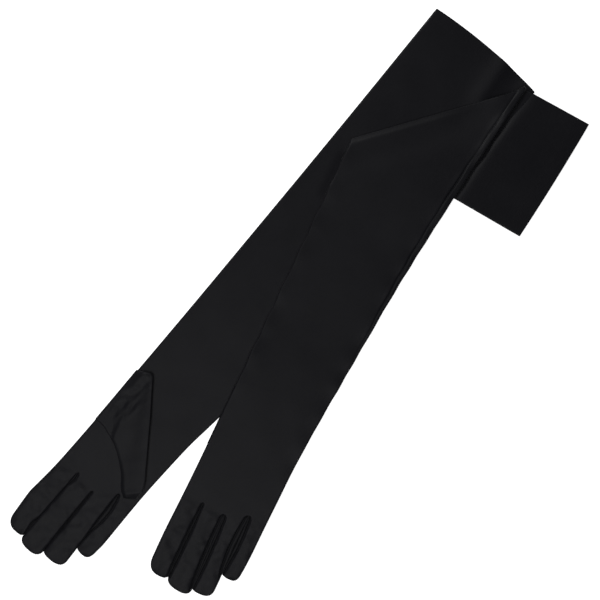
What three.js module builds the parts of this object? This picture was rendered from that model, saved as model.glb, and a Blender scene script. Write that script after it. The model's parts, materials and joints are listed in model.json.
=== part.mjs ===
// A pair of sixty-centimetre opera gloves in stretch satin, laid flat: the right glove lies palm up with
// its thumb folded across the palm, and the left glove lies back up over it, crossing at a small angle,
// with its cuff end folded under along a diagonal so that the last of the sleeve points out to the side.
// Millimetres, +Z up, the sleeves along +Y and the fingers towards -Y.
import * as THREE from "three";

// Cloth and stacking
const CLOTH = 0.6; // one layer of satin
const GAP = 0.3; // air between neighbouring pieces
const STRIP = 0.8; // a fourchette or seam allowance lying between the two faces of a glove
const FLAT = 2 * CLOTH + 2 * GAP + STRIP; // a glove laid flat
const THUMB_CLOTH = 0.5;
const THUMB_FLAT = 2 * THUMB_CLOTH + GAP;

// Lengths along a glove, measured from the knuckle line
const LENGTH_TO_CUFF = 518;
const CUFF_BOW = 5; // the cuff edge bulges this much at its middle
const FOLD_LINE_OF_FINGERS = -6;
const HEM = 12;
const SIDE_STRIP = 6; // width of the folded edge and of the side seam's allowance
const FOURCHETTE_TUCK = 2.6; // how far a fourchette reaches in under the finger's face

// The pair's layout: each glove's knuckle centre and the turn of its sleeve from +Y
const RIGHT_AT = [-55.4, -239.6];
const RIGHT_TURN = THREE.MathUtils.degToRad(-7.02);
const LEFT_AT = [50.8, -190.6];
const LEFT_TURN = THREE.MathUtils.degToRad(7.1);

// The left glove's diagonal fold: where it meets the thumb-side edge, and its slope across the sleeve
const FOLD_START = [-53.6, 342.1];
const FOLD_SLOPE = 0.955;

const BLACK = 0x1b1b1d;
const DARK = 0x151517;

// A smooth function of y through a few [y, value] points, straight beyond its ends.
function through(points) {
  const slopes = points.map((p, i) => {
    const a = points[Math.max(i - 1, 0)];
    const b = points[Math.min(i + 1, points.length - 1)];
    return (b[1] - a[1]) / (b[0] - a[0]);
  });
  return (y) => {
    let i = 0;
    while (i < points.length - 2 && y > points[i + 1][0]) i += 1;
    const [y0, v0] = points[i];
    const [y1, v1] = points[i + 1];
    const span = y1 - y0;
    const u = (y - y0) / span;
    if (u < 0) return v0 + slopes[i] * (y - y0);
    if (u > 1) return v1 + slopes[i + 1] * (y - y1);
    const rise = u * u * (3 - 2 * u);
    return v0 + (v1 - v0) * rise
      + span * (slopes[i] * u * (1 - u) ** 2 - slopes[i + 1] * u * u * (1 - u));
  };
}

const mix = THREE.MathUtils.lerp;
const smooth = THREE.MathUtils.smoothstep;

// Sleeve edges, as x over y: the thumb side is -x and the little finger's side is +x.
const EDGES = {
  right: {
    thumbSide: (y) => -(38.5 + 0.022 * y + 0.000028 * y * y),
    seamSide: (y) => 38.5 + 0.022 * y + 0.000028 * y * y,
  },
  left: {
    thumbSide: (y) => -(39.3 + 0.0415 * y),
    seamSide: through([[-6, 39.1], [60, 37.1], [150, 39.8], [270, 45.8], [330, 51], [383, 55.6], [450, 62.8]]),
  },
};

// The valleys between fingers, from fork to notch, with half the width of the fourchette that shows there.
const VALLEYS = {
  index_middle: { fork: [-19.8, -3.4], notch: [-17.4, -75], half: 2.2 },
  middle_ring: { fork: [1.2, -4.7], notch: [5.6, -77], half: 3.4 },
  ring_little: { fork: [21.2, 5], notch: [25.1, -53], half: 4.8 },
};

// Each finger's tip, how far its end is rounded, and the valleys on its two sides.
const FINGERS = {
  index: { tip: [-27, -77], round: 11, before: null, after: "index_middle" },
  middle: { tip: [-6, -83], round: 9, before: "index_middle", after: "middle_ring" },
  ring: { tip: [14, -79], round: 10, before: "middle_ring", after: "ring_little" },
  little: { tip: [32.5, -56], round: 9, before: "ring_little", after: null },
};

// The thumb folded flat from the sleeve's thumb side: its finger-side edge and its cuff-side edge.
const THUMB_LOW = [[-38.9, 44], [-27.8, 44], [-12.9, 38.1], [-5.4, 34.8], [8.8, 23.3], [19.3, 13.6], [25.4, 8.3]];
const THUMB_HIGH = [[-41, 100.8], [-30, 108.6], [-20.2, 102], [0.3, 72.6], [20.8, 43.1], [32.9, 28.3], [34.1, 14.1]];

// How high the left glove's underside is carried along its length by what lies below it.
const thumbLift = (y) => (FLAT + GAP) * smooth(y, 22, 64);
const leftLift = (y) =>
  mix(thumbLift(y) + (THUMB_FLAT + GAP) * smooth(y, -70, 4), FLAT + GAP, smooth(y, 112, 165))
  + (FLAT + GAP) * smooth(y, 240, 334);
const noLift = () => 0;

const satin = (colour) => new THREE.MeshStandardMaterial({ color: colour, roughness: 0.62, metalness: 0 });

// A thin closed plate: at(s, t) gives the plan place, s running across and t along, and lift raises it.
function plate(name, at, low, high, { across = 2, along = 10, lift = noLift, colour = BLACK } = {}) {
  const geometry = new THREE.BoxGeometry(1, 1, 1, across, along, 1);
  const position = geometry.attributes.position;
  for (let i = 0; i < position.count; i += 1) {
    const [x, y] = at(position.getX(i) + 0.5, position.getY(i) + 0.5);
    position.setXYZ(i, x, y, lift(y) + (position.getZ(i) > 0 ? high : low));
  }
  geometry.computeVertexNormals();
  const mesh = new THREE.Mesh(geometry, satin(colour));
  mesh.name = name;
  return mesh;
}

// Heights of the two faces and of what lies between them, for a glove with its palm up or down.
function stack(palmUp) {
  const lower = [0, CLOTH];
  const upper = [FLAT - CLOTH, FLAT];
  return {
    palm: palmUp ? upper : lower,
    back: palmUp ? lower : upper,
    between: [CLOTH + GAP, CLOTH + GAP + STRIP],
  };
}

const cuffLine = (s) => LENGTH_TO_CUFF + CUFF_BOW * (1 - (2 * s - 1) ** 2);

// Where a line across the sleeve at share s meets the diagonal fold.
function foldLine(s, edges) {
  let y = FOLD_START[1];
  for (let i = 0; i < 12; i += 1) {
    const x = mix(edges.thumbSide(y), edges.seamSide(y), s);
    y = FOLD_START[1] + FOLD_SLOPE * (x - FOLD_START[0]);
  }
  return y;
}

// The two faces of a sleeve and the strips along its sides, from the knuckles to a far end.
function sleeve(side, edges, levels, far, lift, along) {
  const start = FOLD_LINE_OF_FINGERS + GAP;
  const inset = 0.4;
  const face = (s, t) => {
    const y = mix(start, far(s), t);
    return [mix(edges.thumbSide(y), edges.seamSide(y), s), y];
  };
  const strip = (from, to) => (s, t) => {
    const y = mix(start + 2, far(from(0) < 0 ? 0 : 1) - 16, t);
    return [mix(from(y), to(y), s), y];
  };
  const folded = strip((y) => edges.thumbSide(y) + inset, (y) => edges.thumbSide(y) + SIDE_STRIP);
  const seamed = strip((y) => edges.seamSide(y) - SIDE_STRIP, (y) => edges.seamSide(y) - inset);
  const shape = { across: 4, along, lift };
  return [
    plate(`${side}_trank_back`, face, ...levels.back, shape),
    plate(`${side}_trank_palm`, face, ...levels.palm, shape),
    plate(`${side}_thumb_side_fold`, folded, ...levels.between, { along, lift, across: 1 }),
    plate(`${side}_side_seam_allowance`, seamed, ...levels.between, { along, lift, across: 1, colour: DARK }),
  ];
}

// The hem turned in at the cuff, lying between the two faces.
function hem(name, edges, levels) {
  const at = (s, t) => {
    const share = mix(0.08, 0.92, s);
    const y = mix(cuffLine(share) - HEM, cuffLine(share) - 1, t);
    return [mix(edges.thumbSide(y), edges.seamSide(y), share), y];
  };
  return plate(name, at, ...levels.between, { across: 6, along: 1, colour: DARK });
}

const valleyX = ({ fork, notch }, y) => mix(fork[0], notch[0], (y - fork[1]) / (notch[1] - fork[1]));

// Half the fourchette's width at y: it opens from nothing at the fork and closes towards the notch.
function fourchetteHalf(valley, y) {
  const share = THREE.MathUtils.clamp((y - valley.fork[1]) / (valley.notch[1] - valley.fork[1]), 0, 1);
  return valley.half * Math.sin(Math.PI * share) ** 0.6;
}

// A finger's two faces and the half fourchettes sewn along its inner sides.
function finger(side, name, edges, levels, lift) {
  const { tip, round, before, after } = FINGERS[name];
  const base = FOLD_LINE_OF_FINGERS - GAP;
  const wallBefore = before ? VALLEYS[before] : null;
  const wallAfter = after ? VALLEYS[after] : null;
  const lowSide = (y, inset) =>
    (wallBefore ? valleyX(wallBefore, y) + GAP / 2 + inset * fourchetteHalf(wallBefore, y) : edges.thumbSide(y) + 0.05 * (base - y));
  const highSide = (y, inset) =>
    (wallAfter ? valleyX(wallAfter, y) - GAP / 2 - inset * fourchetteHalf(wallAfter, y) : edges.seamSide(y));
  const face = (s, t) => {
    const y = mix(base, tip[1], (1 - t) ** 0.8);
    const near = Math.min((y - tip[1]) / round, 1);
    const open = 0.3 + 0.7 * Math.sqrt(1 - (1 - near) ** 2);
    const x = mix(lowSide(y, 1), highSide(y, 1), s);
    return [mix(tip[0], x, open), y];
  };
  const half = (valley, sign) => (s, t) => {
    const y = mix(tip[1] + round, Math.min(base, valley.fork[1] - 1), t);
    const wall = valleyX(valley, y) + sign * GAP / 2;
    const tucked = wall + sign * (fourchetteHalf(valley, y) + FOURCHETTE_TUCK);
    return [sign > 0 ? mix(wall, tucked, s) : mix(tucked, wall, s), y];
  };
  const shape = { across: 3, along: 12, lift };
  const strip = { across: 1, along: 6, lift, colour: DARK };
  const made = [
    plate(`${side}_${name}_back`, face, ...levels.back, shape),
    plate(`${side}_${name}_palm`, face, ...levels.palm, shape),
  ];
  for (const [valley, which, sign] of [[wallBefore, before, 1], [wallAfter, after, -1]]) {
    if (valley) made.push(plate(`${side}_fourchette_${which}_on_${name}`, half(valley, sign), ...levels.between, strip));
  }
  return made;
}

// A thumb's two faces, folded flat against the palm from the sleeve's thumb side.
function thumb(side, z, lift, seamOnTop) {
  const low = new THREE.SplineCurve(THUMB_LOW.map((p) => new THREE.Vector2(...p)));
  const high = new THREE.SplineCurve(THUMB_HIGH.map((p) => new THREE.Vector2(...p)));
  const at = (s, t) => {
    const a = low.getPoint(t);
    const b = high.getPoint(t);
    return [mix(b.x, a.x, s), mix(b.y, a.y, s)];
  };
  const shape = { across: 3, along: 12, lift };
  const upper = [z + THUMB_CLOTH + GAP, z + THUMB_FLAT];
  const lower = [z, z + THUMB_CLOTH];
  return [
    plate(`${side}_thumb_front`, at, ...(seamOnTop ? upper : lower), shape),
    plate(`${side}_thumb_back`, at, ...(seamOnTop ? lower : upper), shape),
  ];
}

// The left sleeve beyond the fold, drawn unfolded and then turned over the fold line to lie underneath.
function foldedCuff(edges, levels) {
  const group = new THREE.Group();
  const edgeGap = 0.6;
  const face = (s, t) => {
    const y = mix(foldLine(s, edges) + edgeGap, cuffLine(s), t);
    return [mix(edges.thumbSide(y), edges.seamSide(y), s), y];
  };
  const strip = (share, from, to, name, colour) => plate(
    name,
    (s, t) => {
      const y = mix(foldLine(share, edges) + 18, cuffLine(share) - HEM - 1, t);
      return [mix(from(y), to(y), s), y];
    },
    ...levels.between,
    { across: 1, along: 8, colour },
  );
  const made = [
    plate("left_cuff_back", face, ...levels.back, { across: 6, along: 8 }),
    plate("left_cuff_palm", face, ...levels.palm, { across: 6, along: 8 }),
    strip(0, (y) => edges.thumbSide(y) + 0.4, (y) => edges.thumbSide(y) + SIDE_STRIP, "left_cuff_thumb_side_fold", BLACK),
    hem("left_cuff_hem", edges, levels),
  ];
  // Half a turn about the fold line, which lies midway between the sleeve and the flap beneath it.
  const axis = new THREE.Vector3(1, FOLD_SLOPE, 0).normalize();
  const pivot = new THREE.Vector3(...FOLD_START, -GAP / 2);
  const turn = new THREE.Matrix4()
    .makeTranslation(pivot.x, pivot.y, pivot.z)
    .multiply(new THREE.Matrix4().makeRotationAxis(axis, Math.PI))
    .multiply(new THREE.Matrix4().makeTranslation(-pivot.x, -pivot.y, -pivot.z));
  for (const mesh of made) {
    mesh.geometry.applyMatrix4(turn);
    group.add(mesh);
  }
  group.position.z = 2 * (FLAT + GAP);
  return group;
}

function rightGlove() {
  const group = new THREE.Group();
  const edges = EDGES.right;
  const levels = stack(true);
  group.add(...sleeve("right", edges, levels, cuffLine, noLift, 14), hem("right_cuff_hem", edges, levels));
  for (const name of Object.keys(FINGERS)) group.add(...finger("right", name, edges, levels, noLift));
  group.add(...thumb("right", FLAT + GAP, noLift, true));
  group.position.set(...RIGHT_AT, 0);
  group.rotation.z = RIGHT_TURN;
  return group;
}

function leftGlove() {
  const group = new THREE.Group();
  const edges = EDGES.left;
  const levels = stack(false);
  group.add(...sleeve("left", edges, levels, (s) => foldLine(s, edges), leftLift, 44));
  for (const name of Object.keys(FINGERS)) group.add(...finger("left", name, edges, levels, leftLift));
  group.add(...thumb("left", 0, thumbLift, false), foldedCuff(edges, levels));
  group.position.set(...LEFT_AT, 0);
  group.rotation.z = LEFT_TURN;
  return group;
}

const pair = new THREE.Group();
pair.add(rightGlove(), leftGlove());

// The pair stands on z = 0, centred on the origin in plan.
pair.updateMatrixWorld(true);
const bounds = new THREE.Box3().setFromObject(pair, true);
const centre = bounds.getCenter(new THREE.Vector3());
pair.position.set(-centre.x, -centre.y, -bounds.min.z);

export default pair;
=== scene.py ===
"""A pair of black stretch satin opera gloves, laid flat and crossed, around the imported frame.

Lengths inside this script are millimetres in a glove's own plan until a mesh is made: x runs across
the glove towards the little finger, y along it towards the cuff, from the middle of the knuckle line.
"""
import json
import math

import bpy
import numpy as np
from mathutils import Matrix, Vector


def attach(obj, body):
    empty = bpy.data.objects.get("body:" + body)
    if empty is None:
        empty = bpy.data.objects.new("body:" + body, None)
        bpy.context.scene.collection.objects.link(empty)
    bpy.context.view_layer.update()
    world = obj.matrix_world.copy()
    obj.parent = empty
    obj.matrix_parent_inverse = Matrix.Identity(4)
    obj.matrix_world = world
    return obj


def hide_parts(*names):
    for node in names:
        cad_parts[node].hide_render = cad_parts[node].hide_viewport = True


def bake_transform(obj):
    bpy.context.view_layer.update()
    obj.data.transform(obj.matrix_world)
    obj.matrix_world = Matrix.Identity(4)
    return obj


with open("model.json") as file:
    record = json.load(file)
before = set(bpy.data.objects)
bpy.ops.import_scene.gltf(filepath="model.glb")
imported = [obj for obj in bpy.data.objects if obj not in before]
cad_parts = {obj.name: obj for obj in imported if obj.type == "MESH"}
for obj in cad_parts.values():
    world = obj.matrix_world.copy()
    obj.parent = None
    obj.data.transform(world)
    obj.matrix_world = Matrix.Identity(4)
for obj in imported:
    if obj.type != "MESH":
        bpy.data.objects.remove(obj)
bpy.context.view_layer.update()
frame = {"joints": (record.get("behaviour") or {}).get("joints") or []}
JOINTS = {joint["name"]: joint for joint in frame["joints"]}

MM = 0.001
FLAT = 2.4  # thickness of a glove laid flat
THUMB_FLAT = 1.6
WALL = 0.42  # one layer of satin
FINGER_WALL = 0.2  # thinner where a closed pouch hides its inside
LINING_WALL = 0.3
THREAD_RADIUS = 0.14
ROUND = 1.3  # how far in from a folded edge the cloth is rounded
CUFF_AT = 518.0
CUFF_BOW = 3.6  # the cuff's edge bulges this much at its middle
CUFF_SLANT = 2.8  # and runs this much longer on the little finger's side
FINGER_FOLD = -6.0  # y of the line that the fingers fold on
HEM = 12.0

# The left sleeve's diagonal fold
FOLD_START = np.array([-53.6, 342.1])
FOLD_SLOPE = 0.955
FOLD_DIRECTION = np.array([1.0, FOLD_SLOPE]) / math.hypot(1.0, FOLD_SLOPE)
FOLD_OUTWARD = np.array([-FOLD_DIRECTION[1], FOLD_DIRECTION[0]])
FOLD_RADIUS = 1.3
PRESSED = 0.36  # share of its thickness that the sleeve keeps at the fold

# Valleys between fingers: fork and notch in plan
VALLEYS = {
    "right": {
        "index_middle": ((-19.8, -1.0), (-18.5, -75.4)),
        "middle_ring": ((0.9, -4.6), (3.9, -75.0)),
        "ring_little": ((19.8, 9.0), (24.1, -52.5)),
    },
    "left": {
        "index_middle": ((-20.0, -3.6), (-17.0, -77.0)),
        "middle_ring": ((1.6, -4.6), (6.8, -78.3)),
        "ring_little": ((21.6, 4.8), (24.2, -54.6)),
    },
}
# Fourchette that shows beside each valley: share of its length, width on the thumb's side, on the other side
SHOWN = {
    "right": {
        "index_middle": [(0, .1, .1), (.02, .4, 1.9), (.1, .3, 3.0), (.22, .3, .6), (.7, .4, .3),
                         (.84, 2.5, .3), (1, .6, .2)],
        "middle_ring": [(0, .1, .1), (.02, .8, 1.0), (.3, 1.0, 1.4), (.6, .9, 1.1), (1, .3, .4)],
        "ring_little": [(0, .1, .1), (.02, .8, 1.8), (.1, .9, 3.4), (.28, 1.0, 5.2), (.5, .9, 4.4),
                        (.7, .5, 1.4), (1, .2, .3)],
    },
    "left": {
        "index_middle": [(0, .2, .2), (.02, 1.2, 1.2), (.3, 2.0, 2.1), (.6, 2.2, 2.3), (.85, 2.0, 2.0),
                         (1, 1.4, 1.4)],
        "middle_ring": [(0, .3, .3), (.012, 1.8, 1.8), (.05, 3.0, 3.0), (.3, 3.6, 3.6), (.6, 3.5, 3.5),
                        (.85, 2.7, 2.7), (1, 1.8, 1.8)],
        "ring_little": [(0, .3, .3), (.015, 1.9, 1.9), (.06, 3.4, 3.2), (.3, 4.8, 4.3), (.55, 5.2, 4.4),
                        (.8, 4.2, 3.2), (1, 2.0, 1.6)],
    },
}
# A fingertip: lowest point, and how high its corner is rounded on each side
TIPS = {
    "right": {"index": (-27.0, -78.0, 12.0, 4.5), "middle": (-7.2, -82.8, 7.5, 10.0),
              "ring": (12.4, -76.3, 3.0, 10.0), "little": (32.4, -54.0, 3.0, 9.0)},
    "left": {"index": (-25.5, -80.4, 14.0, 5.5), "middle": (-3.0, -84.4, 9.5, 7.5),
             "ring": (13.4, -78.0, 2.5, 10.0), "little": (32.4, -54.3, 2.5, 7.5)},
}
BESIDE = {
    "index": (None, "index_middle"),
    "middle": ("index_middle", "middle_ring"),
    "ring": ("middle_ring", "ring_little"),
    "little": ("ring_little", None),
}

# A thumb folded flat: its edges on the fingers' side and the cuff's side, from the root to the tip
THUMB_LOW = [(-39.6, 44), (-31, 44.2), (-22, 41.6), (-12.9, 38.1), (-5.4, 34.0), (8.8, 23.3), (18.5, 12.6),
             (25.4, 8.3)]
THUMB_HIGH = [(-41.6, 101), (-35.5, 104.8), (-30.2, 107.9), (-27.0, 107.0), (-24.4, 103.8), (-20, 98.2),
              (-6, 80.6), (8, 62.0), (21.5, 44.0), (32.6, 28.3), (34.6, 15.0)]


# ---------------------------------------------------------------- numbers and curves

def mix(a, b, t):
    return a + (b - a) * t


def smooth(value, low, high):
    t = np.clip((np.asarray(value, float) - low) / (high - low), 0.0, 1.0)
    return t * t * (3.0 - 2.0 * t)


def through(points):
    """A smooth function of y through a few (y, value) points, straight beyond its ends."""
    at = np.array([p[0] for p in points], float)
    value = np.array([p[1] for p in points], float)
    before = np.maximum(np.arange(len(at)) - 1, 0)
    after = np.minimum(np.arange(len(at)) + 1, len(at) - 1)
    slope = (value[after] - value[before]) / (at[after] - at[before])

    def curve(y):
        y = np.asarray(y, float)
        i = np.clip(np.searchsorted(at, y) - 1, 0, len(at) - 2)
        span = at[i + 1] - at[i]
        u = (y - at[i]) / span
        v = np.clip(u, 0.0, 1.0)
        rise = v * v * (3 - 2 * v)
        inside = value[i] + (value[i + 1] - value[i]) * rise + span * (
            slope[i] * v * (1 - v) ** 2 - slope[i + 1] * v * v * (1 - v))
        low_end = np.where(u < 0, slope[i] * span * u, 0)
        high_end = np.where(u > 1, slope[i + 1] * span * (u - 1), 0)
        return inside + low_end + high_end

    return curve


def path_through(points, shares):
    """Points at the given shares of the length of a smooth plan curve through some points."""
    points = np.array(points, float)
    step = np.hypot(*np.diff(points, axis=0).T)
    at = np.concatenate([[0.0], np.cumsum(step)])
    at /= at[-1]
    x = through(list(zip(at, points[:, 0])))
    y = through(list(zip(at, points[:, 1])))
    return np.stack([x(shares), y(shares)], -1)


def ripple(x, y, size, seed):
    """Smooth random heights from -1 to 1 with bumps of about that size, the same on every run."""
    lattice = np.random.RandomState(seed).uniform(-1, 1, (64, 64))
    u, v = np.asarray(x, float) / size + 31.0, np.asarray(y, float) / size + 31.0
    i, j = np.floor(u).astype(int), np.floor(v).astype(int)
    fu, fv = u - i, v - j
    fu, fv = fu * fu * (3 - 2 * fu), fv * fv * (3 - 2 * fv)
    a, b = lattice[i % 64, j % 64], lattice[(i + 1) % 64, j % 64]
    c, d = lattice[i % 64, (j + 1) % 64], lattice[(i + 1) % 64, (j + 1) % 64]
    return mix(mix(a, b, fu), mix(c, d, fu), fv)


def crease(x, y, start, end, width, height):
    """A ridge, or a dent where height is negative, along a line in plan that fades at both ends."""
    ax, ay = start
    dx, dy = end[0] - ax, end[1] - ay
    length = math.hypot(dx, dy)
    along = ((x - ax) * dx + (y - ay) * dy) / length ** 2
    off = ((x - ax) * -dy + (y - ay) * dx) / length
    fade = np.exp(-(np.maximum(np.abs(along - 0.5) * 2 - 0.55, 0) / 0.3) ** 2)
    return height * np.exp(-(off / width) ** 2) * fade


# ---------------------------------------------------------------- the two gloves in plan

FOLD_PUCKER, SEAM_PUCKER = 71, 73  # seeds of the wander along the left glove's two sides


class Glove:
    """Where a glove lies, and its edges."""

    def __init__(self, side, thumb_edge, seam_edge):
        hinge = JOINTS[side + "_index_fold"]
        across = -np.array(hinge["axis"][:2])
        self.across = across / np.hypot(*across)
        self.along = np.array([-self.across[1], self.across[0]])
        self.origin = np.array(hinge["pos_m"][:2]) / MM - FINGER_FOLD * self.along
        self.side = side
        self.thumb_edge = thumb_edge
        self.seam_edge = seam_edge

    def place(self, x, y):
        x, y = np.broadcast_arrays(np.asarray(x, float), np.asarray(y, float))
        return (self.origin[0] + x * self.across[0] + y * self.along[0],
                self.origin[1] + x * self.across[1] + y * self.along[1])

    def local(self, row_x, row_y):
        dx, dy = row_x - self.origin[0], row_y - self.origin[1]
        return dx * self.across[0] + dy * self.across[1], dx * self.along[0] + dy * self.along[1]

    def inside(self, x, y):
        """How far inside the sleeve's outline a point is, negative outside."""
        to_side = np.minimum(x - self.thumb_edge(y), self.seam_edge(y) - x)
        return np.minimum(to_side, cuff_line(x, self) - y)


def cuff_line(x, glove):
    """y of the cuff's edge."""
    low, high = glove.thumb_edge(CUFF_AT), glove.seam_edge(CUFF_AT)
    share = np.clip((x - low) / (high - low), 0, 1)
    return CUFF_AT + CUFF_SLANT * share + CUFF_BOW * (1 - (2 * share - 1) ** 2)


def pucker(y, seed):
    """Wander of a sewn or folded edge, drawn in every 32 mm or so."""
    drift = 1.6 * ripple(y * 0, y, 60.0, seed)
    return np.sin(2 * math.pi * y / 32.0 + drift) + 0.6 * ripple(y * 0, y, 13.0, seed + 1)


right = Glove(
    "right",
    through([(-67, -38.5), (-43, -40.9), (-35, -40.5), (-19, -39.6), (-3, -39.2), (22, -39.4),
             (50, -39.9), (100, -41.0), (170, -43.0), (250, -45.8), (330, -48.8), (410, -52.2),
             (CUFF_AT, -57.3)]),
    through([(-60, 38.4), (-43, 39.4), (-35, 39.8), (-19, 39.2), (-3, 38.5), (22, 37.7), (46, 37.7),
             (82, 38.4), (106, 40.3), (130, 41.9), (200, 44.0), (300, 47.6), (410, 52.2),
             (CUFF_AT, 57.3)]),
)
left_thumb_side = through([(-67, -37.8), (-43, -39.0), (-3, -39.7), (40, -41.0), (342, -53.5)])
left_seam_side = through([(-60, 38.6), (-43, 39.6), (-27, 39.7), (-3, 38.9), (30, 38.1), (60, 37.4),
                          (110, 38.3), (150, 39.9), (190, 41.6), (230, 43.3), (270, 45.8), (330, 50.6),
                          (383, 55.6), (450, 62.8)])


def left_thumb_edge(y):
    y = np.asarray(y, float)
    return left_thumb_side(y) - 0.4 * pucker(y, FOLD_PUCKER) * smooth(y, 90, 130) * (1 - smooth(y, 320, 342))


def left_seam_edge(y):
    y = np.asarray(y, float)
    return left_seam_side(y) + 0.18 * pucker(y, SEAM_PUCKER) * smooth(y, 60, 110) * (1 - smooth(y, 400, 430))


left = Glove("left", left_thumb_edge, left_seam_edge)


def across_fold(x, y):
    """A plan point of the left glove mirrored over its diagonal fold."""
    dx, dy = x - FOLD_START[0], y - FOLD_START[1]
    off = dx * FOLD_OUTWARD[0] + dy * FOLD_OUTWARD[1]
    return x - 2 * off * FOLD_OUTWARD[0], y - 2 * off * FOLD_OUTWARD[1]


def fold_y(x):
    return FOLD_START[1] + FOLD_SLOPE * (x - FOLD_START[0])


# ---------------------------------------------------------------- what each layer lies on

AIR = 0.2  # between layers that lie on each other
RISE_TO_RIGHT = 90.0  # how far outside the right glove the left one starts to rise over it
RISE_TO_FLAP = 75.0


def over_right(x, y):
    """Height that the right glove lifts whatever crosses it, at a plan point of the left glove."""
    inside = right.inside(*right.local(*left.place(x, y)))
    return (FLAT + AIR) * smooth(inside, -RISE_TO_RIGHT, 3.0)


def pressed(x, y):
    """Share of its thickness that the sleeve keeps near the diagonal fold."""
    to_fold = np.abs(fold_y(x) - y) * FOLD_DIRECTION[0]
    return PRESSED + (1 - PRESSED) * smooth(to_fold, 1.0, 40.0)


def over_flap(x, y):
    """Height that the folded cuff end lifts the left sleeve above it."""
    inside = left.inside(*across_fold(x, y))
    return (FLAT * pressed(x, y) + AIR) * smooth(inside, -RISE_TO_FLAP, 3.0)


def over_thumb(x, y):
    """Height that the left thumb, folded under, lifts the left palm."""
    return (THUMB_FLAT + AIR) * smooth(y, -62.0, 10.0) * (1 - smooth(y, 104.0, 190.0)) + 0 * x


def left_rest(x, y):
    """Height of the left glove's underside, its side seam rolled up where the folded cuff end comes out."""
    seam_roll = 1.3 * np.exp(-((left.seam_edge(y) - x) / 6.0) ** 2) * smooth(y, 366, 392)
    return over_right(x, y) + over_flap(x, y) + over_thumb(x, y) + seam_roll


# ---------------------------------------------------------------- meshes

class Tube:
    """A laid-flat tube of cloth: rows of points over its top and under its bottom, meeting at both sides."""

    def __init__(self, glove, x, y, top, bottom):
        rows, columns = x.shape
        self.columns = columns
        row_x, row_y = glove.place(x, y)
        upper = np.stack([row_x, row_y, top], -1)
        lower = np.stack([row_x, row_y, bottom], -1)[:, 1:-1]
        self.points = np.concatenate([upper.reshape(-1, 3), lower.reshape(-1, 3)])
        width = x.max() - x.min() + 10.0
        self.uv = np.concatenate([
            np.stack([x, y], -1).reshape(-1, 2),
            np.stack([x + width, y], -1)[:, 1:-1].reshape(-1, 2),
        ])
        top_index = np.arange(rows * columns).reshape(rows, columns)
        low_index = top_index.copy()
        low_index[:, 1:-1] = rows * columns + np.arange(rows * (columns - 2)).reshape(rows, columns - 2)
        self.top_index, self.low_index = top_index, low_index

    def quads(self, index, flipped):
        a, b = index[:-1, :-1], index[:-1, 1:]
        c, d = index[1:, 1:], index[1:, :-1]
        order = [a, d, c, b] if flipped else [a, b, c, d]
        return np.stack(order, -1)

    def top(self):
        return self.quads(self.top_index, False)

    def bottom(self):
        return self.quads(self.low_index, True)

    def end_cap(self, row):
        """Closes one end with a fan of narrow quads between top and bottom."""
        t, b = self.top_index[row], self.low_index[row]
        faces = np.stack([t[:-1], b[:-1], b[1:], t[1:]], -1)
        return faces if row == 0 else faces[:, ::-1]


def sharpen_borders(mesh):
    """Keeps the rim of a cloth wall from darkening the face beside it."""
    uses = np.zeros(len(mesh.edges), int)
    edge = np.zeros(len(mesh.loops), np.int32)
    mesh.loops.foreach_get("edge_index", edge)
    np.add.at(uses, edge, 1)
    mesh.edges.foreach_set("use_edge_sharp", uses == 1)


def piece(name, points, faces, uv, material, wall=WALL):
    """One named object from shared points, holding only what its faces use."""
    faces = np.concatenate([f.reshape(-1, 4) for f in faces])
    used, inverse = np.unique(faces, return_inverse=True)
    faces = inverse.reshape(-1, 4)
    mesh = bpy.data.meshes.new(name)
    loops = [list(dict.fromkeys(face)) for face in faces.tolist()]
    mesh.from_pydata((points[used] * MM).tolist(), [], [face for face in loops if len(face) > 2])
    layer = mesh.uv_layers.new(name="cloth")
    corner = np.zeros(len(mesh.loops), np.int32)
    mesh.loops.foreach_get("vertex_index", corner)
    layer.data.foreach_set("uv", (uv[used] * MM)[corner].astype(np.float32).ravel())
    mesh.shade_smooth()
    sharpen_borders(mesh)
    made = bpy.data.objects.new(name, mesh)
    bpy.context.scene.collection.objects.link(made)
    mesh.materials.append(material)
    if wall:
        solid = made.modifiers.new("wall", "SOLIDIFY")
        solid.thickness = wall * MM
        solid.offset = -1.0
        solid.use_rim = True
    return made


# ---------------------------------------------------------------- materials

def srgb(code):
    """A hex sRGB colour as linear RGBA."""
    parts = [int(code[i:i + 2], 16) / 255 for i in (0, 2, 4)]
    return tuple(c / 12.92 if c <= 0.04045 else ((c + 0.055) / 1.055) ** 2.4 for c in parts) + (1.0,)


def add(tree, kind, links=None, **settings):
    """A node with its settings; links maps an input's name or number to a value or an output socket."""
    node = tree.nodes.new(kind)
    for key, value in settings.items():
        setattr(node, key, value)
    for key, value in (links or {}).items():
        if isinstance(value, bpy.types.NodeSocket):
            tree.links.new(value, node.inputs[key])
        else:
            node.inputs[key].default_value = value
    return node


def new_material(name):
    material = bpy.data.materials.new(name)
    material.use_nodes = True
    tree = material.node_tree
    tree.nodes.clear()
    return material, tree


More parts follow.
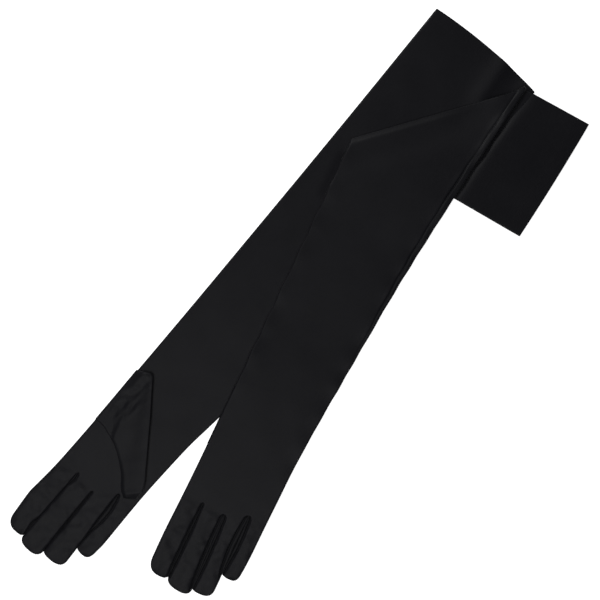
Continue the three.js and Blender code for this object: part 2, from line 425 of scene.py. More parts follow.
def satin(name, light, dark, roughness, sheen):
    """Stretch satin, a warp-knit nylon and spandex with floats along the glove: near black, with a soft
    broad highlight, a faint lengthwise grain and cloudy patches where the knit lies a little looser."""
    material, tree = new_material(name)
    coordinates = add(tree, "ShaderNodeUVMap", uv_map="cloth").outputs["UV"]
    lengthwise = add(tree, "ShaderNodeMapping", {"Vector": coordinates, "Scale": (1.0, 0.18, 1.0)}).outputs[0]
    # Knit wales are 0.3 mm apart, too fine to show, so the grain is drawn at 1.1 mm.
    grain = add(tree, "ShaderNodeTexNoise", {
        "Vector": lengthwise, "Scale": 0.9 / MM, "Detail": 3.0}).outputs[0]
    # The patches are about 36 mm across.
    cloud = add(tree, "ShaderNodeTexNoise", {
        "Vector": coordinates, "Scale": 0.028 / MM, "Detail": 3.0}).outputs[0]
    both = add(tree, "ShaderNodeMix", {0: 0.35, 2: cloud, 3: grain}, data_type="FLOAT").outputs[0]
    ramp = add(tree, "ShaderNodeValToRGB", {0: both})
    ramp.color_ramp.elements[0].position = 0.3
    ramp.color_ramp.elements[0].color = srgb(dark)
    ramp.color_ramp.elements[1].position = 0.7
    ramp.color_ramp.elements[1].color = srgb(light)
    rough = add(tree, "ShaderNodeMapRange", {0: grain, 3: roughness - 0.06, 4: roughness + 0.06}).outputs[0]
    bump = add(tree, "ShaderNodeBump", {"Height": grain, "Strength": 0.25, "Distance": 0.0002}).outputs[0]
    shader = add(tree, "ShaderNodeBsdfPrincipled", {
        "Base Color": ramp.outputs[0], "Roughness": rough, "Normal": bump, "IOR": 1.5,
        "Specular IOR Level": 0.075, "Sheen Weight": sheen, "Sheen Roughness": 0.45,
    })
    add(tree, "ShaderNodeOutputMaterial", {"Surface": shader.outputs[0]})
    return material


# The floats side, out on every glove face: the glossiest of the three
SATIN = satin("stretch_satin_face", "111114", "0d0d10", 0.46, 0.02)
# The same cloth between the fingers, a little rougher, its colour darkened as painted shade for the valleys
# between the fingers
FOURCHETTE_PAINTED_SHADE_SATIN = satin("stretch_satin_fourchette", "0d0d10", "09090b", 0.52, 0.02)
# The knit's back, matte, seen only up the cuffs
INSIDE = satin("satin_knit_back", "111112", "0d0d0e", 0.8, 0.02)


def spun_thread():
    """Spun polyester sewing thread, twisted: matte, so darker than the satin it sits in."""
    material, tree = new_material("spun_polyester_thread")
    place = add(tree, "ShaderNodeTexCoord").outputs["Object"]
    # A turn of the twist every 0.7 mm
    twist = add(tree, "ShaderNodeTexNoise", {"Vector": place, "Scale": 1.5 / MM}).outputs[0]
    ramp = add(tree, "ShaderNodeValToRGB", {0: twist})
    ramp.color_ramp.elements[0].color = srgb("08080a")
    ramp.color_ramp.elements[1].color = srgb("111113")
    shader = add(tree, "ShaderNodeBsdfPrincipled", {
        "Base Color": ramp.outputs[0], "Roughness": 0.7, "Specular IOR Level": 0.15})
    add(tree, "ShaderNodeOutputMaterial", {"Surface": shader.outputs[0]})
    return material


THREAD = spun_thread()


# ---------------------------------------------------------------- stitches and cut sizes

def running_stitch():
    """Turns seam lines into rows of short threads that nose into the cloth at both ends."""
    tree = bpy.data.node_groups.new("running_stitch", "GeometryNodeTree")
    tree.interface.new_socket("Geometry", in_out="INPUT", socket_type="NodeSocketGeometry")
    for name in ("Pitch", "Stitch", "Thread radius"):
        tree.interface.new_socket(name, in_out="INPUT", socket_type="NodeSocketFloat")
    tree.interface.new_socket("Material", in_out="INPUT", socket_type="NodeSocketMaterial")
    tree.interface.new_socket("Geometry", in_out="OUTPUT", socket_type="NodeSocketGeometry")
    given = add(tree, "NodeGroupInput").outputs
    line = add(tree, "GeometryNodeMeshToCurve", {"Mesh": given["Geometry"]}).outputs[0]
    even = add(tree, "GeometryNodeResampleCurve", {
        "Curve": line, "Length": given["Pitch"]}, mode="LENGTH").outputs[0]
    places = add(tree, "GeometryNodeCurveToPoints", {"Curve": even}, mode="EVALUATED").outputs
    half = add(tree, "ShaderNodeMath", {0: given["Stitch"], 1: 0.5}, operation="MULTIPLY").outputs[0]
    size = add(tree, "ShaderNodeCombineXYZ", {
        0: given["Thread radius"], 1: given["Thread radius"], 2: half}).outputs[0]
    bead = add(tree, "GeometryNodeMeshUVSphere", {"Segments": 8, "Rings": 6, "Radius": 1.0}).outputs[0]
    round_bead = add(tree, "GeometryNodeSetShadeSmooth", {0: bead}).outputs[0]
    laid = add(tree, "GeometryNodeInstanceOnPoints", {
        "Points": places["Points"], "Instance": round_bead, "Rotation": places["Rotation"],
        "Scale": size}).outputs[0]
    real = add(tree, "GeometryNodeRealizeInstances", {0: laid}).outputs[0]
    dressed = add(tree, "GeometryNodeSetMaterial", {
        "Geometry": real, "Material": given["Material"]}).outputs[0]
    add(tree, "NodeGroupOutput", {0: dressed})
    return tree


STITCHES = running_stitch()


def sew(name, paths, pitch, length):
    """One mesh of stitches of a length, one every pitch, along seam lines given in row millimetres."""
    points, edges = [], []
    for path in paths:
        edges += [(i, i + 1) for i in range(len(points), len(points) + len(path) - 1)]
        points += (path * MM).tolist()
    mesh = bpy.data.meshes.new(name + "_line")
    mesh.from_pydata(points, edges, [])
    line = bpy.data.objects.new(name + "_line", mesh)
    bpy.context.scene.collection.objects.link(line)
    sewn = line.modifiers.new("stitches", "NODES")
    sewn.node_group = STITCHES
    inputs = [item for item in STITCHES.interface.items_tree if item.in_out == "INPUT"]
    socket = {item.name: item.identifier for item in inputs}
    sewn[socket["Pitch"]] = pitch * MM
    sewn[socket["Stitch"]] = length * MM
    sewn[socket["Thread radius"]] = THREAD_RADIUS * MM
    sewn[socket["Material"]] = THREAD
    baked = bpy.data.meshes.new_from_object(line.evaluated_get(bpy.context.evaluated_depsgraph_get()))
    bpy.data.objects.remove(line)
    baked.name = name
    made = bpy.data.objects.new(name, baked)
    bpy.context.scene.collection.objects.link(made)
    return made


def column_path(tube, column, rows):
    """A seam line down one column of a tube's upper side."""
    return tube.points[tube.top_index[rows, column]]


def declare_tube(x, y):
    run = np.array([x[-1].mean() - x[0].mean(), y[-1].mean() - y[0].mean()])
    run /= np.hypot(*run)


# ---------------------------------------------------------------- fingers

# Columns of a finger's face, by share of its width
FACE_SHARES = np.array([0, .03, .07, .12, .19, .28, .39, .5, .61, .72, .81, .88, .93, .97, 1.0])
SQUARENESS = 0.8  # of a fingertip's outline: 1 is an ellipse, and less is squarer
STRAIGHT_ROWS = 52  # rows of a finger before its tip begins to round
TOUCH = 0.25  # how far a fourchette presses past the middle of its valley
WALL_COLUMNS = 5  # columns of a fourchette, from the valley to just short of the face's seam


def valley_x(side, valley, y):
    (fork_x, fork_y), (notch_x, notch_y) = VALLEYS[side][valley]
    return mix(fork_x, notch_x, (y - fork_y) / (notch_y - fork_y))


def shown_half(side, valley, y, which):
    """Width of fourchette that shows on the thumb's side of a valley (0) or on the other side (1)."""
    (_, fork_y), (_, notch_y) = VALLEYS[side][valley]
    share = np.clip((y - fork_y) / (notch_y - fork_y), 0, 1)
    points = SHOWN[side][valley]
    width = np.interp(share, [p[0] for p in points], [p[1 + which] for p in points])
    return width * smooth(y, notch_y - 3.0, notch_y) * smooth(share, 0, 0.004)  # closed at both ends


def border_row(glove, number):
    """Plan points where one finger's face joins the hand."""
    forks = [VALLEYS[glove.side][valley][0] for valley in ("index_middle", "middle_ring", "ring_little")]
    first, last = forks[0][1] - 1.0, forks[-1][1] + 0.5
    line = [(float(glove.thumb_edge(first)), first), *forks, (float(glove.seam_edge(last)), last)]
    (x0, y0), (x1, y1) = line[number], line[number + 1]
    return mix(x0, x1, FACE_SHARES), mix(y0, y1, FACE_SHARES)


def from_border(glove, x, y):
    """Distance along the glove from the fingers' border."""
    rows = [border_row(glove, number) for number in range(4)]
    border_x, border_y = np.concatenate([row[0] for row in rows]), np.concatenate([row[1] for row in rows])
    return y - np.interp(x, border_x, border_y)


def wall_offsets(width):
    """Distances of a fourchette's columns from the seam beside the finger's face, valley first."""
    near, shoulder = np.minimum(0.6, 0.22 * width), np.minimum(1.2, 0.44 * width)
    return [width, mix(shoulder, width, 2 / 3), mix(shoulder, width, 1 / 3), shoulder, near]


def finger_grid(glove, number, name):
    """Plan places of a finger's rows by columns, how open each row is, and its shown fourchettes' widths."""
    side = glove.side
    tip_x, tip_y, reach_low, reach_high = TIPS[side][name]
    border_x, border_y = border_row(glove, number)
    before, after = BESIDE[name]
    low_count, high_count = (WALL_COLUMNS if before else 0), (WALL_COLUMNS if after else 0)
    shares = np.concatenate([np.zeros(low_count), FACE_SHARES, np.ones(high_count)])
    edge_y = np.concatenate([np.full(low_count, border_y[0]), border_y, np.full(high_count, border_y[-1])])
    reach = mix(reach_low, reach_high, shares)
    cap_y = tip_y + reach
    straight = np.linspace(0, 1, STRAIGHT_ROWS)[:, None] ** 1.25
    angles = np.linspace(0, math.pi / 2, 15)[1:, None]
    y = np.concatenate([mix(edge_y, cap_y, straight), cap_y - reach * np.sin(angles) ** SQUARENESS])
    opening = np.concatenate([np.ones_like(straight), np.maximum(np.cos(angles), 0) ** SQUARENESS])
    # The face's sides, with each fourchette's columns laid from its seam to just past the valley's middle
    low = valley_x(side, before, y) - TOUCH if before else glove.thumb_edge(y)
    high = valley_x(side, after, y) + TOUCH if after else glove.seam_edge(y)
    low_wall = shown_half(side, before, y[:, :1], 1) if before else 0 * y[:, :1]
    high_wall = shown_half(side, after, y[:, -1:], 0) if after else 0 * y[:, :1]
    x = mix(low + low_wall, high - high_wall, shares)
    if before:
        for column, offset in enumerate(wall_offsets(low_wall[:, 0])):
            x[:, column] = (low + low_wall)[:, column] - offset
    if after:
        for step, offset in enumerate(wall_offsets(high_wall[:, 0])):
            x[:, -1 - step] = (high - high_wall)[:, -1 - step] + offset
    # The border row is exactly the hand's.
    face = slice(low_count, len(shares) - high_count)
    x[0, face], y[0, face] = border_x, border_y
    x = tip_x + (x - tip_x) * np.maximum(opening, 0.04)
    return x, y, opening, low_wall, high_wall


def finger_heights(glove, name, x, y, opening, lift, seed):
    """Top and bottom heights: a soft face with sunk seams, and fourchettes a little lower beside it."""
    columns = x.shape[1]
    before, after = BESIDE[name]
    first, last = (WALL_COLUMNS if before else 0), columns - 1 - (WALL_COLUMNS if after else 0)
    away = smooth(y[0] - y, 0.0, 12.0)
    near_fork = smooth(np.hypot(x - x[0], y - y[0]), 0.0, 2.6)
    full_height = FLAT * (0.5 + 0.5 * opening ** 0.35)
    inner = np.clip(np.minimum(x - x[:, first:first + 1], x[:, last:last + 1] - x) / 6.0, 0, 1)
    unevenness = 0.45 * ripple(x, y, 9.0, seed) + 0.36 * ripple(x, y, 5.0, seed + 7)
    top = lift + full_height + away * (unevenness + 0.55 * np.sqrt(inner) * opening)
    for valley, low_side in ((before, True), (after, False)):
        if valley:
            at = y[:, 0] if low_side else y[:, -1]
            total = shown_half(glove.side, valley, at, 0) + shown_half(glove.side, valley, at, 1)
            narrow = 1 - smooth(total, 0.8, 3.0)
            # From the valley: an open fourchette is crowned, and a narrow one is a groove all across.
            for step, (open_drop, narrow_drop) in enumerate((
                    (0.6, 2.1), (0.4, 2.07), (0.4, 2.04), (0.8, 2.0),
                    (1.95, 1.95), (0.75, 0.75), (0.16, 0.16))):
                column = step if low_side else columns - 1 - step
                drop = mix(open_drop, narrow_drop, narrow)
                top[:, column] -= drop * near_fork[:, column] * opening[:, 0] ** 0.5
    edge = np.minimum(x - x[:, :1], x[:, -1:] - x)
    round_off = np.sqrt(1 - (1 - np.clip(edge / ROUND, 0, 1)) ** 2)
    for valley, columns_of in ((before, slice(0, columns // 2)), (after, slice(columns // 2, columns))):
        if not valley:
            part = top[:, columns_of]
            middle = (lift + FLAT / 2)[:, columns_of]
            top[:, columns_of] = middle + (part - middle) * round_off[:, columns_of]
    bottom = lift + FLAT / 2 - FLAT / 2 * mix(1.0, round_off, near_fork) * opening ** 0.35
    bottom = np.minimum(bottom, top - 0.12)
    for end in (0, -1):
        bottom[:, end] = top[:, end]
    return top, bottom


def bend_at_knuckles(made, glove):
    """Bakes the piece's placement into its mesh; the knuckle line's ends are worked out but not used."""
    start = glove.place(0.0, -5.0)
    end = glove.place(0.0, -19.0)
    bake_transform(made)


def make_finger(glove, number, name, rest):
    side = glove.side
    x, y, opening, low_wall, high_wall = finger_grid(glove, number, name)
    top, bottom = finger_heights(glove, name, x, y, opening, rest(x, y), 40 + 10 * number)
    tube = Tube(glove, x, y, top, bottom)
    # Rows run towards the tip, so every face is wound the other way round from a sleeve's.
    upper, lower, tip = tube.top()[..., ::-1], tube.bottom()[..., ::-1], tube.end_cap(-1)[:, ::-1]
    before, after = BESIDE[name]
    columns = x.shape[1]
    walls = {}
    covered = np.ones(upper.shape[:2], bool)
    for valley, width, cells in ((before, low_wall, slice(0, WALL_COLUMNS)),
                                 (after, high_wall, slice(columns - 1 - WALL_COLUMNS, columns - 1))):
        if valley:
            last_shown = np.flatnonzero(width[:-1, 0] > 0.02)[-1]
            rows = slice(0, min(last_shown + 1, STRAIGHT_ROWS - 1))
            walls[valley] = [upper[rows, cells], lower[rows, cells]]
            covered[rows, cells] = False
    made = piece(f"{side}_{name}_finger", tube.points, [upper[covered], lower[covered], tip],
                 tube.uv, SATIN, FINGER_WALL)
    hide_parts(f"{side}_{name}_back", f"{side}_{name}_palm")
    bend_at_knuckles(made, glove)
    for valley, faces in walls.items():
        strip = piece(f"{side}_{name}_fourchette_to_{valley}", tube.points, faces, tube.uv,
                      FOURCHETTE_PAINTED_SHADE_SATIN, FINGER_WALL)
        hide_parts(f"{side}_fourchette_{valley}_on_{name}")
        bend_at_knuckles(strip, glove)
    seams = ([WALL_COLUMNS] if before else []) + ([columns - 1 - WALL_COLUMNS] if after else [])
    rows = slice(2, STRAIGHT_ROWS + 8)
    paths = [column_path(tube, column, rows) for column in seams]
    thread = sew(f"{side}_{name}_seam_stitches", paths, pitch=2.1, length=1.5)
    bend_at_knuckles(thread, glove)
    declare_tube(x, y)


# ---------------------------------------------------------------- sleeves

# Fine columns beside the sleeve's edges, in mm in from each. The last ones crowd round the side seam.
SEAM_INSET = 5.7
LEFT_BLOCK = np.array([0, .4, .9, 1.6, 2.6, 4.2, 6.5])
RIGHT_BLOCK = np.array([12.5, 10, 8.3, 7.1, 6.4, 6.0, 5.7, 5.4, 5.0, 4.4, 3.5, 2.5, 1.6, .9, .4, 0])


def seam_inset(y):
    """How far the left glove's side seam lies in from its folded edge."""
    return mix(1.6, SEAM_INSET, smooth(y, 130.0, 330.0))


def sleeve_columns(glove, x_border, y):
    """x of every column at each row's y: from the fingers' columns to even ones with fine edges."""
    low, high = glove.thumb_edge(y), glove.seam_edge(y)
    share = (x_border - x_border[0]) / (x_border[-1] - x_border[0])
    from_hand = mix(low, high, share)
    middle = len(x_border) - len(LEFT_BLOCK) - len(RIGHT_BLOCK)
    steps = (np.arange(middle) + 1) / (middle + 1)
    inner = slice(len(LEFT_BLOCK), len(LEFT_BLOCK) + middle)
    narrowed = seam_inset(y) / SEAM_INSET
    first = low[:, :len(LEFT_BLOCK)] + LEFT_BLOCK
    last = high[:, -len(RIGHT_BLOCK):] - RIGHT_BLOCK * narrowed[:, -len(RIGHT_BLOCK):]
    between = mix(low[:, inner] + LEFT_BLOCK[-1], high[:, inner] - RIGHT_BLOCK[0] * narrowed[:, inner], steps)
    return mix(from_hand, np.concatenate([first, between, last], 1), smooth(y, 12.0, 70.0))


def sleeve_grid(glove, far, rows):
    """Columns by rows of a sleeve's plan, from the fingers' border to a far line y = far(x)."""
    parts = [border_row(glove, number) for number in range(4)]
    x_border = np.concatenate([p[0][:-1] for p in parts] + [parts[-1][0][-1:]])
    y_border = np.concatenate([p[1][:-1] for p in parts] + [parts[-1][1][-1:]])
    t = np.linspace(0, 1, rows)[:, None]
    x = np.repeat(x_border[None], rows, 0)
    for _ in range(12):  # the far line's y depends on x, and each column's x on y, so they settle together
        y = mix(y_border, far(x[-1]), t)
        x = sleeve_columns(glove, x_border, y)
        x[0] = x_border
    return x, y


def edge_profile(x):
    """Share of its thickness that a sleeve has at each column: a quarter circle at both folded edges."""
    q = np.clip(np.minimum(x - x[:, :1], x[:, -1:] - x) / ROUND, 0, 1)
    return np.sqrt(1 - (1 - q) ** 2)


def right_relief(x, y):
    """Soft unevenness of the right palm and sleeve, and a hollow by the seam near the cuff."""
    swell = 0.55 * ripple(x, y, 55.0, 3) + 0.22 * ripple(x, y, 21.0, 4)
    swell += crease(x, y, (-37, 8), (-26, -2), 2.2, -0.5) + crease(x, y, (-36, 14), (-24, 4), 2.6, 0.35)
    swell += crease(x, y, (-33, 376), (-19, 323), 5.0, -1.3)
    from_step = x - 26.4 + 0.115 * (y - 486.5)
    hollow = 1.9 * np.exp(-(np.minimum(from_step, 0) / 12.0) ** 2)
    hollow = hollow - 3.3 * (1 - np.exp(-(np.maximum(from_step, 0) / 7.0) ** 1.2))
    hollow = hollow + 1.4 * smooth(from_step, 13.0, 28.0)
    return (swell + hollow * smooth(y, 462.0, 486.0)) * smooth(from_border(right, x, y), 0.0, 14.0)


def left_relief(x, y):
    """Soft unevenness of the left sleeve, with its side seam rolled up from the little finger's edge."""
    swell = 0.5 * ripple(x, y, 60.0, 13) + 0.2 * ripple(x, y, 24.0, 14)
    from_seam = left.seam_edge(y) - x
    off_seam = from_seam - seam_inset(y)
    broken = smooth(y, 130.0, 300.0) * (0.75 + 0.5 * ripple(y * 0, y, 17.0, 75))
    broken = broken * (1 - 0.55 * smooth(y, 375.0, 400.0))
    groove = -0.85 * np.exp(-(off_seam / 0.6) ** 2)
    welt = 0.25 * np.exp(-((off_seam + 1.8) / 1.3) ** 2) + 0.2 * np.exp(-((off_seam - 1.8) / 1.4) ** 2)
    drawn = 0.5 * pucker(y, SEAM_PUCKER) * np.exp(-(from_seam / 9.0) ** 2) * smooth(y, 20, 80)
    from_thumb_side = x - left.thumb_edge(y)
    waved = 0.3 * pucker(y, FOLD_PUCKER) * np.exp(-(from_thumb_side / 9.0) ** 2) * smooth(y, 60, 110)
    to_fold = (fold_y(x) - y) * FOLD_DIRECTION[0]
    # A lip just short of the fold, steep towards it and easing away over the sleeve
    from_lip = to_fold - 4.0
    lip_height = mix(0.85, 0.1275, smooth(x, 0.0, 32.0))
    lip = lip_height * np.exp(-(from_lip / np.where(from_lip > 0, 12.0, 2.6)) ** 2)
    heap = 2.2 * np.exp(-((x - 50.0) / 15.0) ** 2 - ((y - 437.0) / 15.0) ** 2)
    relief = swell + broken * (groove + welt) + drawn + waved + lip + heap
    return relief * smooth(from_border(left, x, y), 0.0, 14.0)


def make_sleeve(glove, far, rows, rest, thickness, relief):
    """A glove's hand and sleeve in one tube, out to y = far(x)."""
    x, y = sleeve_grid(glove, far, rows)
    middle = rest(x, y) + thickness(x, y) / 2
    round_off = edge_profile(x)
    top = middle + (thickness(x, y) / 2 + relief(x, y)) * round_off
    bottom = middle - thickness(x, y) / 2 * round_off
    tube = Tube(glove, x, y, top, bottom)
    side = glove.side
    made = piece(side + "_trank", tube.points, [tube.top(), tube.bottom()], tube.uv, SATIN)
    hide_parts(side + "_trank_back", side + "_trank_palm", side + "_thumb_side_fold",
                side + "_side_seam_allowance")
    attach(made, side + "_glove")
    return made, tube, x, y, top, bottom


def hem_layer(glove, body, x, y, top, bottom):
    """The hem's turned-in layer, seen only through the cuff's opening."""
    middle = (top + bottom) / 2
    thin = np.maximum((top - bottom) / 2 - WALL - 0.06, 0.02)
    centre_x, centre_y = (x[:, :1] + x[:, -1:]) / 2, (y[:, :1] + y[:, -1:]) / 2
    tube = Tube(glove, mix(centre_x, x, 0.985), mix(centre_y, y, 0.985), middle + thin, middle - thin)
    made = piece(glove.side + "_cuff_hem_layer", tube.points, [tube.top(), tube.bottom()], tube.uv, INSIDE,
                 LINING_WALL)
    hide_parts(glove.side + "_cuff_hem")
    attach(made, body)
    return made


def hem_stitches(glove, body, tube, row_of):
    """Stitches round a cuff; row_of is the fractional row of the hem's stitch line at each column."""
    low = np.floor(row_of).astype(int)
    columns = np.arange(tube.columns)
    paths = []
    for index, lift in ((tube.top_index, 0.03), (tube.low_index, -0.03)):
        here, next_row = tube.points[index[low, columns]], tube.points[index[low + 1, columns]]
        paths.append(mix(here, next_row, (row_of - low)[:, None])[3:-3] + (0, 0, lift))
    made = sew(glove.side + "_cuff_hem_stitches", paths, pitch=2.6, length=2.0)
    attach(made, body)
    return made


def flat_rest(x, y):
    return 0.0 * x


RIGHT_ROWS = 230

right_trank, right_tube, right_x, right_y, right_top, right_bottom = make_sleeve(
    right, lambda x: cuff_line(x, right), RIGHT_ROWS, flat_rest, lambda x, y: FLAT + 0 * x, right_relief)
right_hem = hem_layer(right, "right_glove", right_x[-7:], right_y[-7:], right_top[-7:], right_bottom[-7:])
right_hem_thread = hem_stitches(
    right, "right_glove", right_tube, RIGHT_ROWS - 1 - HEM / (right_y[-1] - right_y[-2]))
declare_tube(right_x, right_y)
for number, name in enumerate(BESIDE):
    make_finger(right, number, name, flat_rest)

left_trank, left_tube, left_x, left_y, left_top, left_bottom = make_sleeve(
    left, fold_y, 210, left_rest, lambda x, y: FLAT * pressed(x, y), left_relief)
seam_column = left_tube.columns - len(RIGHT_BLOCK) + list(RIGHT_BLOCK).index(SEAM_INSET)
seam_rows = np.flatnonzero(left_y[:, seam_column] > 60)[:-1]
left_seam_thread = sew(
    "left_side_seam_stitches", [column_path(left_tube, seam_column, seam_rows)], pitch=2.3, length=1.7)
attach(left_seam_thread, "left_glove")
for number, name in enumerate(BESIDE):
    make_finger(left, number, name, left_rest)


# ---------------------------------------------------------------- the left cuff, folded under

# The corners of its opening, in the left glove's plan, and how far the edge between them bulges
FLAP_LOW_CORNER = np.array([118.9, 335.7])
FLAP_HIGH_CORNER = np.array([127.2, 452.6])
FLAP_BOW = 0.8


def make_flap():
    """The cuff end from its opening back to the fold line, lying under the sleeve and out to its side."""
    start = np.stack([left_x[-1], left_y[-1]], -1)
    share = (start[:, 0] - start[0, 0]) / (start[-1, 0] - start[0, 0])
    end = mix(FLAP_LOW_CORNER, FLAP_HIGH_CORNER, share[:, None])
    end[:, 0] += FLAP_BOW * (1 - (2 * share - 1) ** 2)
    t = np.linspace(1, 0, 84)[:, None]
    x, y = mix(start[:, 0], end[:, 0], t), mix(start[:, 1], end[:, 1], t)
    from_cuff = (1 - t) * np.hypot(end[:, 0] - start[:, 0], end[:, 1] - start[:, 1])
    to_side = np.minimum(np.hypot(x - x[:, :1], y - y[:, :1]), np.hypot(x - x[:, -1:], y - y[:, -1:]))
    round_off = np.sqrt(1 - (1 - np.clip(to_side / ROUND, 0, 1)) ** 2)
    swell = 0.5 * ripple(x, y, 48.0, 31) + 0.2 * ripple(x, y, 20.0, 32)
    swell += 0.06 * smooth(-from_cuff, -HEM - 2.0, -HEM + 1.0)  # the hem's second layer
    # The cloth dips where it comes out from under the sleeve's rolled seam.
    beside = x - left.seam_edge(y)
    width = mix(3.2, 5.5, smooth(y, 385.0, 450.0))
    trench = -1.75 * np.exp(-(np.maximum(beside - 1.0, 0) / width) ** 1.5)
    half = FLAT * pressed(x, y) / 2
    middle = over_right(x, y) + half
    top = middle + (half + swell * smooth(t, 0.2, 0.5) + trench) * round_off
    bottom = middle - half * round_off
    tube = Tube(left, x, y, top, bottom)
    made = piece("left_cuff_end", tube.points, [tube.top(), tube.bottom()], tube.uv, SATIN)
    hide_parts("left_cuff_back", "left_cuff_palm", "left_cuff_thumb_side_fold")
    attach(made, "left_cuff")
    lining = hem_layer(left, "left_cuff", x[:9], y[:9], top[:9], bottom[:9])
    thread = hem_stitches(left, "left_cuff", tube, HEM / from_cuff[1])
    declare_tube(x, y)
    return top, bottom


def fold_strip(name, high, low, bulge, count, inner):
    """Cloth rolled from the sleeve's last row down to the flap's."""
    angle = np.linspace(0, math.pi, count)[:, None]
    out = bulge * np.sin(angle)
    x, y = left_x[-1] + out * FOLD_OUTWARD[0], left_y[-1] + out * FOLD_OUTWARD[1]
    row_x, row_y = left.place(x, y)
    height = (high + low) / 2 + (high - low) / 2 * np.cos(angle)
    points = np.stack([row_x, row_y, height], -1).reshape(-1, 3)
    index = np.arange(x.size).reshape(x.shape)
    a, b, c, d = index[:-1, :-1], index[:-1, 1:], index[1:, 1:], index[1:, :-1]
    faces = np.stack([a, d, c, b] if inner else [a, b, c, d], -1)
    made = piece(name, points, [faces], np.stack([x, y], -1).reshape(-1, 2), SATIN)
    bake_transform(made)
    return made


flap_top, flap_bottom = make_flap()
across_row = (left_x[-1] - left_x[-1, 0]) / (left_x[-1, -1] - left_x[-1, 0])
fold_bulge = FOLD_RADIUS * (0.4 + 0.6 * edge_profile(left_x[-1:])[0]) + 2.0 * smooth(across_row, 0.9, 1.0)
fold = [fold_strip("left_diagonal_fold", left_top[-1], flap_bottom[-1], fold_bulge, 15, False),
        fold_strip("left_diagonal_fold_lining", left_bottom[-1], flap_top[-1], 0.3, 5, True)]
declare_tube(left_x, left_y)


# ---------------------------------------------------------------- thumbs

# Columns across a thumb, by share of its width
THUMB_SHARES = np.concatenate([
    [0, .012, .03, .055, .09, .14], np.linspace(.2, .8, 20), [.86, .905, .94, .965, .985, 1]])


def thumb_grid(rows):
    """Columns from the finger-side edge to the cuff-side edge, rows from the tip to the root, with each
    point's share of the length from the root and its distances from both edges and from the tip."""
    shares = np.linspace(1, 0, rows) ** 0.9
    low, high = path_through(THUMB_LOW, shares), path_through(THUMB_HIGH, shares)
    x, y = mix(low[:, :1], high[:, :1], THUMB_SHARES), mix(low[:, 1:], high[:, 1:], THUMB_SHARES)
    span = np.hypot(high[:, 0] - low[:, 0], high[:, 1] - low[:, 1])[:, None]
    near_middle = 14
    steps = np.hypot(np.diff(x[:, near_middle]), np.diff(y[:, near_middle]))
    from_tip = np.concatenate([[0], np.cumsum(steps)])[:, None]
    return x, y, shares[:, None], THUMB_SHARES * span, (1 - THUMB_SHARES) * span, from_tip


def thumb_relief(x, y):
    """Crumpled cloth at the thumb's root, softer down its length."""
    root = smooth(-x, 10.0, 24.0) * smooth(y, 48.0, 62.0)
    streaks = 0.5 * ripple(x * 1.6, y * 0.4, 6.0, 51) + 0.35 * ripple(x * 1.2, y * 0.8, 3.8, 52)
    pressed_in = crease(x, y, (-31, 50), (-29, 103), 3.6, -0.9)
    for at, height in ((57, 0.4), (65, -0.5), (72, 0.5), (79, -0.5), (87, 0.5), (95, -0.6)):
        pressed_in = pressed_in + crease(x, y, (-38.5, at - 2), (-25, at + 5), 1.5, height)
    soft = 0.3 * ripple(x, y, 22.0, 53) + 0.16 * ripple(x, y, 9.0, 54)
    return root * streaks + pressed_in + soft + crease(x, y, (-41, 98), (-28, 105.0), 2.2, 0.9)


def make_thumb(glove, base, edge_middle, relief, raised, under):
    """A flat pouch over or under the palm: sewn down along the root's end of its finger side, free beyond,
    its cuff side standing off the palm by the raised height, its root rolling round the sleeve's fold."""
    x, y, share, from_low, from_high, from_tip = thumb_grid(84)
    sewn = 1 - smooth(share, 0.18, 0.32)
    edge = mix(0.6, -0.3, sewn)
    from_root = from_tip[-1] - from_tip
    body = (THUMB_FLAT + relief(x, y) - edge) * smooth(from_low, 0.0, mix(3.5, 24.0, sewn))
    body = edge + body * mix(0.25, 1.0, smooth(from_root, 0.0, 11.0))
    stand = raised * np.exp(-(np.maximum(from_high - 1.2, 0) / 16.0) ** 2)
    stand = stand * smooth(from_tip, 0, 6) * smooth(from_root, 0, 6)
    ends = np.clip(np.minimum(from_high, from_tip + 0.1) / 1.1, 0, 1)
    low_end = np.clip(from_low / 0.7, 0, 1)
    round_off = np.sqrt(1 - (1 - ends) ** 2) * np.sqrt(1 - (1 - low_end) ** 2)
    thick = np.maximum(np.minimum(body, 1.3), 0.05)
    outer, inner = body + stand, np.maximum(body + stand - thick, 0) * smooth(stand, 0.0, 0.4)
    middle = (outer + inner) / 2
    outer, inner = middle + (outer - middle) * round_off, middle + (inner - middle) * round_off
    rest = base(x, y)
    if under:
        top, bottom = rest + THUMB_FLAT - inner, rest + THUMB_FLAT - outer
    else:
        top, bottom = rest + outer, rest + inner
    # The root's rows turn round the thumb side to the middle of the sleeve's folded edge.
    meet = edge_middle(y[-1])
    rows = {"x": [], "y": [], "top": [], "bottom": []}
    for angle in np.linspace(0, math.pi, 10)[1:]:
        turn = (1 - math.cos(angle)) / 2
        rows["x"].append(mix(x[-1], glove.thumb_edge(y[-1]), turn) - 0.25 * math.sin(angle))
        rows["y"].append(y[-1])
        rows["top"].append(mix(top[-1], meet, turn ** (0.7 if under else 1.0)))
        rows["bottom"].append(mix(bottom[-1], meet, turn ** (1.0 if under else 0.7)))
    x, y = np.concatenate([x, rows["x"]]), np.concatenate([y, rows["y"]])
    top, bottom = np.concatenate([top, rows["top"]]), np.concatenate([bottom, rows["bottom"]])
    tube = Tube(glove, x, y, top, bottom)
    side = glove.side
    made = piece(side + "_thumb", tube.points, [tube.top(), tube.bottom(), tube.end_cap(0)], tube.uv, SATIN,
                 LINING_WALL)
    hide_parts(side + "_thumb_front", side + "_thumb_back")
    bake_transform(made)
    declare_tube(x, y)


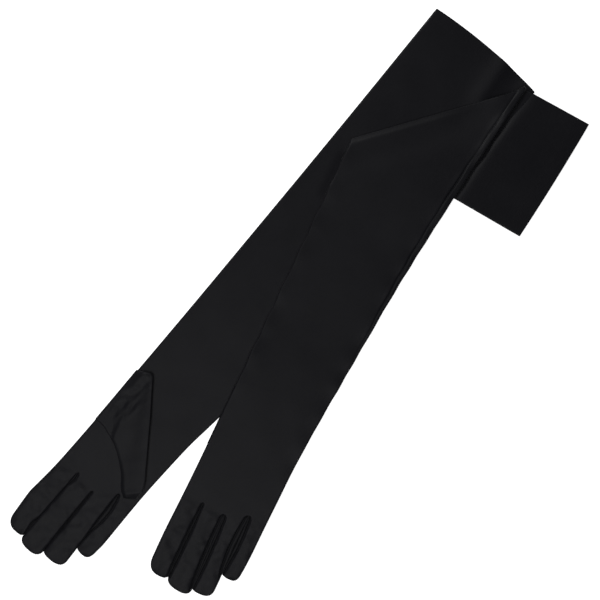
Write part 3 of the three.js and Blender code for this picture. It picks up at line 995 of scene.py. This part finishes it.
make_thumb(right, base=lambda x, y: FLAT + 0.08 + right_relief(x, y), edge_middle=lambda y: FLAT / 2 + 0 * y,
           relief=thumb_relief, raised=2.3, under=False)
make_thumb(left, base=over_right, edge_middle=lambda y: left_rest(left.thumb_edge(y), y) + FLAT / 2,
           relief=lambda x, y: 0 * x, raised=0.0, under=True)


# ---------------------------------------------------------------- stage

def make_stage():
    """Plain pale floor, a soft key from the thumb side and a broad overhead light towards the hands."""
    mesh = bpy.data.meshes.new("floor")
    half, level = 4.0, -0.0002
    corners = ((-half, -half), (half, -half), (half, half), (-half, half))
    mesh.from_pydata([(x, y, level) for x, y in corners], [], [(0, 1, 2, 3)])
    floor = bpy.data.objects.new("floor", mesh)
    bpy.context.scene.collection.objects.link(floor)
    material, tree = new_material("backlit_acrylic_table")
    shader = add(tree, "ShaderNodeBsdfPrincipled", {
        "Base Color": srgb("f4f4f4"), "Roughness": 0.9, "Emission Color": srgb("ffffff"),
        "Emission Strength": 0.7})
    add(tree, "ShaderNodeOutputMaterial", {"Surface": shader.outputs[0]})
    mesh.materials.append(material)
    for name, place, size, power in (
        ("key", (-0.9, 0.6, 1.15), 0.5, 12.0),
        ("overhead", (0.0, -0.6, 1.35), 1.1, 12.2),
    ):
        light = bpy.data.lights.new(name, "AREA")
        light.shape = "DISK"
        light.size = size
        light.energy = power
        lamp = bpy.data.objects.new(name, light)
        bpy.context.scene.collection.objects.link(lamp)
        lamp.location = place
        lamp.rotation_mode = "QUATERNION"
        lamp.rotation_quaternion = (Vector((0, 0, 0)) - Vector(place)).to_track_quat("-Z", "Y")
    world = bpy.data.worlds.new("studio")
    bpy.context.scene.world = world
    world.use_nodes = True
    world.node_tree.nodes["Background"].inputs[0].default_value = (1, 1, 1, 1)
    world.node_tree.nodes["Background"].inputs[1].default_value = 0.11


def make_camera():
    """Straight down, turned so that the pair runs from the lower left to the upper right."""
    camera = bpy.data.objects.new("camera", bpy.data.cameras.new("camera"))
    bpy.context.scene.collection.objects.link(camera)
    camera.data.lens = 100.0
    camera.data.sensor_width = 36.0
    camera.location = (-0.01819, 0.01945, 1.483)
    camera.rotation_euler = (0.0, 0.0, math.radians(34.8))
    bpy.context.scene.camera = camera


make_stage()
make_camera()
bpy.context.scene.view_settings.view_transform = "Standard"
